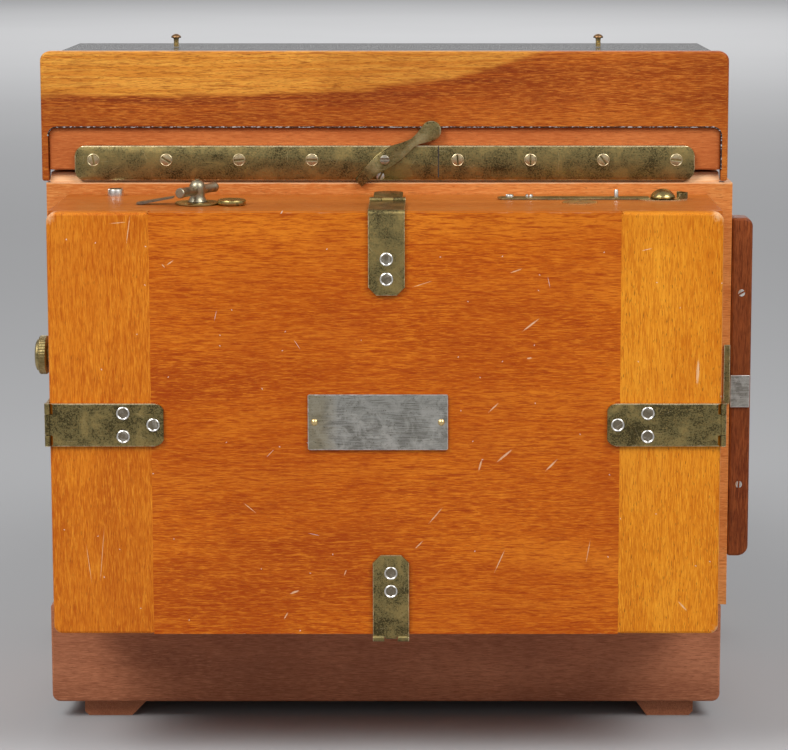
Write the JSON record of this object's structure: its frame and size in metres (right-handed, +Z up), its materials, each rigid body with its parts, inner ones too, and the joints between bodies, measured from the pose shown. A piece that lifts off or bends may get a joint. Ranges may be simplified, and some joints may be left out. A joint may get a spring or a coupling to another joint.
{
  "type": "wooden view camera with roll holder",
  "caption": "Wooden view camera with a brass-hasped roll holder on its back, a dark slide at the side, leather bellows and a brass lens on a racked front standard.",
  "frame": {"origin": "on the table, under the centre of the camera's bounding box", "axes": "+X right as seen from the back, +Y from the roll holder towards the lens, +Z up"},
  "size_m": [0.3494, 0.4146, 0.3286],
  "materials": {
    "cherry": "polished red-orange cherry, worn",
    "amber": "polished amber cherry, worn",
    "walnut": "red-brown polished walnut",
    "mahogany": "dark polished mahogany",
    "black": "black lacquered wood",
    "brass": "aged olive brass",
    "bright": "lacquered brass",
    "nickel": "nickel silver, satin",
    "steel": "blued spring steel",
    "paper": "film and backing paper",
    "board": "black vulcanised board",
    "leather": "dark red-black leather",
    "glass": "clear polished lens"
  },
  "bodies": {
    "camera": {"back_top_board": "amber", "back_bottom_board": "walnut", "inset_strip": "cherry", "brass_strip": "brass", "box_left_wall": "cherry", "box_right_wall": "cherry", "box_top": "black", "base_board": "walnut", "foot_cleat_left": "walnut", "foot_cleat_right": "walnut", "plate_frame": "cherry", "sight_pin_left": "bright", "sight_pin_right": "bright", "bed_rail_left": "cherry", "bed_rail_right": "cherry", "tripod_plate": "brass", "holder_frame": "cherry", "gate_frame": "mahogany", "edge_plate": "brass", "case_top": "cherry", "case_bottom": "cherry", "case_left": "amber", "case_right": "amber", "key_base_plate": "bright", "pawl_spring": "steel", "register_plate": "brass", "film_web": "paper"},
    "latch": {"latch_lever": "brass"},
    "dark_slide": {"dark_slide_board": "board", "dark_slide_handle": "mahogany", "handle_plate": "nickel"},
    "lock_knob": {"lock_knob": "brass"},
    "back_door": {"door_panel": "cherry", "door_clamp_left": "amber", "door_clamp_right": "amber", "nameplate": "nickel", "hasp_left": "brass", "hasp_right": "brass", "hasp_top": "brass", "hasp_bottom": "brass"},
    "left_flap": {"flap_left": "brass"},
    "right_flap": {"flap_right": "brass"},
    "top_flap": {"flap_top": "brass"},
    "bottom_flap": {"flap_bottom": "brass"},
    "winder": {"winding_key": "nickel", "take_up_spool": "paper"},
    "supply": {"supply_spool": "paper"},
    "register": {"register_roller": "cherry", "register_dial": "bright"},
    "guide": {"guide_roller": "cherry"},
    "front_standard": {"carriage": "cherry", "front_frame": "cherry", "bellows": "leather"},
    "pinion": {"focus_pinion": "brass"},
    "rising_front": {"lens_board": "mahogany", "lens_barrel": "bright", "front_glass": "glass", "rear_glass": "glass"},
    "stop": {"waterhouse_stop": "steel"},
    "cap": {"lens_cap": "leather"}
  },
  "joints": [
    {"name": "latch_turn", "type": "hinge", "parent": "camera", "child": "latch", "pos_m": [0, -0.12635, 0.2726], "axis": [0, 1, 0], "range_deg": [-18, 50]},
    {"name": "dark_slide_pull", "type": "slide", "parent": "camera", "child": "dark_slide", "axis": [1, 0, 0], "range_m": [0, 0.25]},
    {"name": "lock_knob_turn", "type": "hinge", "parent": "camera", "child": "lock_knob", "pos_m": [-0.1603, -0.114, 0.1774], "axis": [-1, 0, 0], "continuous": true},
    {"name": "door_lift_off", "type": "slide", "parent": "camera", "child": "back_door", "axis": [0, -1, 0], "range_m": [0, 0.1]},
    {"name": "left_flap_turn", "type": "hinge", "parent": "back_door", "child": "left_flap", "pos_m": [-0.15045, -0.20585, 0.1603], "axis": [0, 0, 1], "range_deg": [0, 110]},
    {"name": "right_flap_turn", "type": "hinge", "parent": "back_door", "child": "right_flap", "pos_m": [0.15325, -0.20585, 0.1603], "axis": [0, 0, -1], "range_deg": [0, 110]},
    {"name": "top_flap_turn", "type": "hinge", "parent": "back_door", "child": "top_flap", "pos_m": [0.002, -0.169, 0.2578], "axis": [1, 0, 0], "range_deg": [0, 110]},
    {"name": "bottom_flap_turn", "type": "hinge", "parent": "back_door", "child": "bottom_flap", "pos_m": [0.0037, -0.20585, 0.06175], "axis": [-1, 0, 0], "range_deg": [0, 60]},
    {"name": "winding", "type": "hinge", "parent": "camera", "child": "winder", "pos_m": [-0.0849, -0.1693, 0.2574], "axis": [0, 0, 1], "continuous": true},
    {"name": "supply_turn", "type": "hinge", "parent": "camera", "child": "supply", "pos_m": [0.0903, -0.1623, 0.16], "axis": [0, 0, 1], "continuous": true},
    {"name": "register_turn", "type": "hinge", "parent": "camera", "child": "register", "pos_m": [0.1295, -0.149, 0.16], "axis": [0, 0, 1], "continuous": true},
    {"name": "guide_turn", "type": "hinge", "parent": "camera", "child": "guide", "pos_m": [-0.1267, -0.149, 0.16], "axis": [0, 0, 1], "continuous": true},
    {"name": "focus", "type": "slide", "parent": "camera", "child": "front_standard", "axis": [0, 1, 0], "range_m": [-0.08, 0], "deforming": ["bellows"]},
    {"name": "pinion_turn", "type": "hinge", "parent": "camera", "child": "pinion", "pos_m": [0, 0.069, 0.0215], "axis": [1, 0, 0], "range_deg": [-770, 770]},
    {"name": "rise", "type": "slide", "parent": "front_standard", "child": "rising_front", "axis": [0, 0, 1], "range_m": [0, 0.03]},
    {"name": "stop_lift", "type": "slide", "parent": "rising_front", "child": "stop", "axis": [0, 0, 1], "range_m": [0, 0.041]},
    {"name": "cap_pull", "type": "slide", "parent": "rising_front", "child": "cap", "axis": [0, 1, 0], "range_m": [0, 0.03]}
  ],
  "couplings": [
    {"joint": "supply_turn", "follows": "winding", "ratio": 1},
    {"joint": "register_turn", "follows": "winding", "ratio": 1.1667},
    {"joint": "guide_turn", "follows": "winding", "ratio": 1.1667},
    {"joint": "pinion_turn", "follows": "focus", "rad_per_m": -166.67}
  ]
}
